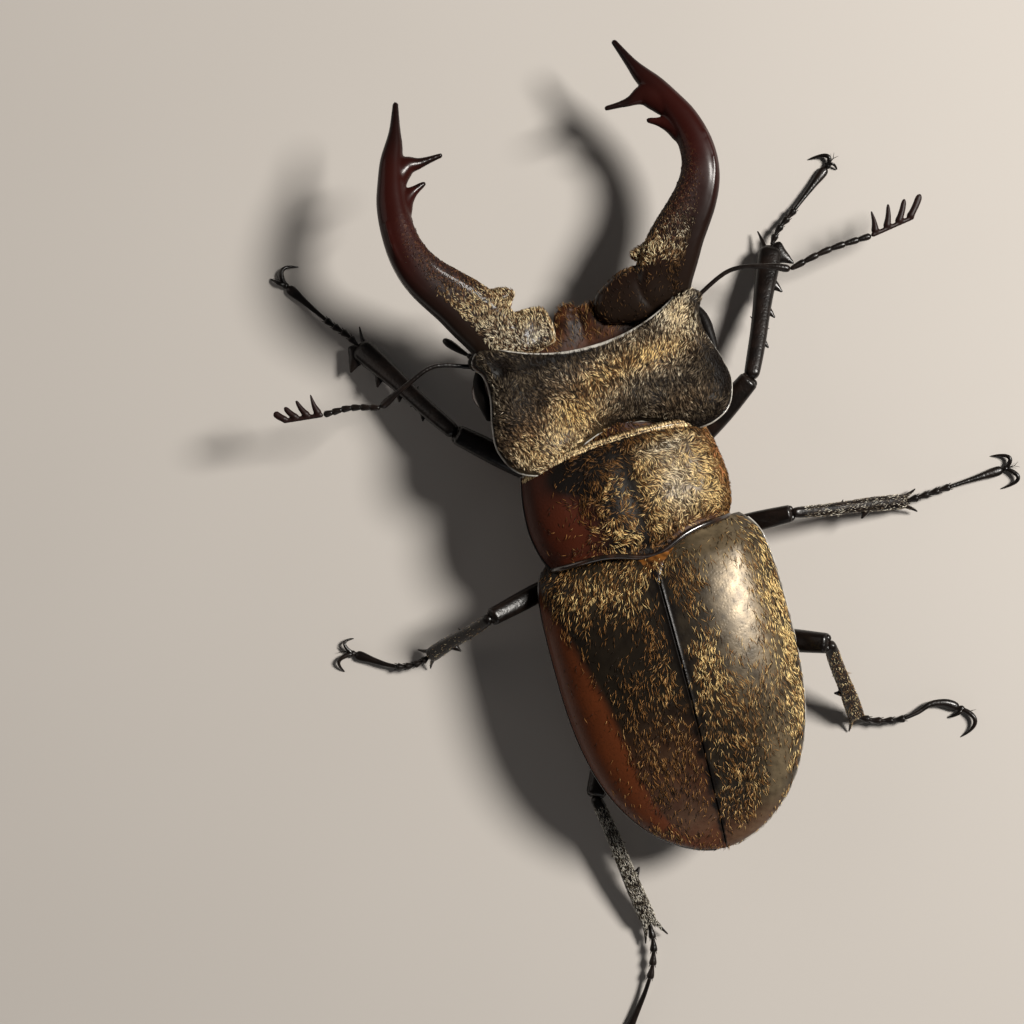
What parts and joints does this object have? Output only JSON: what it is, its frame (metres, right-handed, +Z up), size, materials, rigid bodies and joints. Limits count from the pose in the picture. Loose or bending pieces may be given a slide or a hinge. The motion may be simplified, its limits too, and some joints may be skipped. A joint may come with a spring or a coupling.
{
  "type": "male stag beetle",
  "caption": "Life-size still model of a male stag beetle with long forked jaws, ear-like head lobes, golden-haired wing cases and spread jointed legs.",
  "frame": {"origin": "middle of the bottom of the beetle's bounding box, on the floor", "axes": "-Y towards the jaws, +Y towards the tail, +X the beetle's left side, +Z up"},
  "size_m": [0.0616, 0.085, 0.0134],
  "materials": {
    "wing_case": "bronze-brown glossy shell under short golden hair in streaks",
    "hairy_shell": "black shell under dense short golden-grey hair",
    "jaw": "glossy mahogany to black, grained on the inner side, hairy at the root",
    "black_shell": "glossy black-brown shell with fine punctures",
    "eye": "dark red-brown faceted eye",
    "feeler_club": "velvety grey-brown"
  },
  "bodies": {
    "root": {"head": "hairy_shell", "clypeus": "jaw", "palp_left": "black_shell", "palp_right": "black_shell", "mandible_left": "jaw", "eye_left": "eye", "antenna_scape_left": "black_shell", "antenna_whip_left": "black_shell", "antenna_club_left": "feeler_club", "mandible_right": "jaw", "eye_right": "eye", "antenna_scape_right": "black_shell", "antenna_whip_right": "black_shell", "antenna_club_right": "feeler_club", "pronotum": "hairy_shell", "metathorax": "black_shell", "abdomen": "black_shell", "scutellum": "hairy_shell", "elytron_left": "wing_case", "elytron_right": "wing_case", "front_left_coxa": "black_shell", "front_left_femur": "black_shell", "front_left_tibia": "black_shell", "front_left_tarsus": "black_shell", "front_left_claws": "black_shell", "front_right_coxa": "black_shell", "front_right_femur": "black_shell", "front_right_tibia": "black_shell", "front_right_tarsus": "black_shell", "front_right_claws": "black_shell", "middle_left_coxa": "black_shell", "middle_left_femur": "black_shell", "middle_left_tibia": "black_shell", "middle_left_tarsus": "black_shell", "middle_left_claws": "black_shell", "middle_right_coxa": "black_shell", "middle_right_femur": "black_shell", "middle_right_tibia": "black_shell", "middle_right_tarsus": "black_shell", "middle_right_claws": "black_shell", "hind_left_coxa": "black_shell", "hind_left_femur": "black_shell", "hind_left_tibia": "black_shell", "hind_left_tarsus": "black_shell", "hind_left_claws": "black_shell", "hind_right_coxa": "black_shell", "hind_right_femur": "black_shell", "hind_right_tibia": "black_shell", "hind_right_tarsus": "black_shell", "hind_right_claws": "black_shell"}
  },
  "joints": []
}
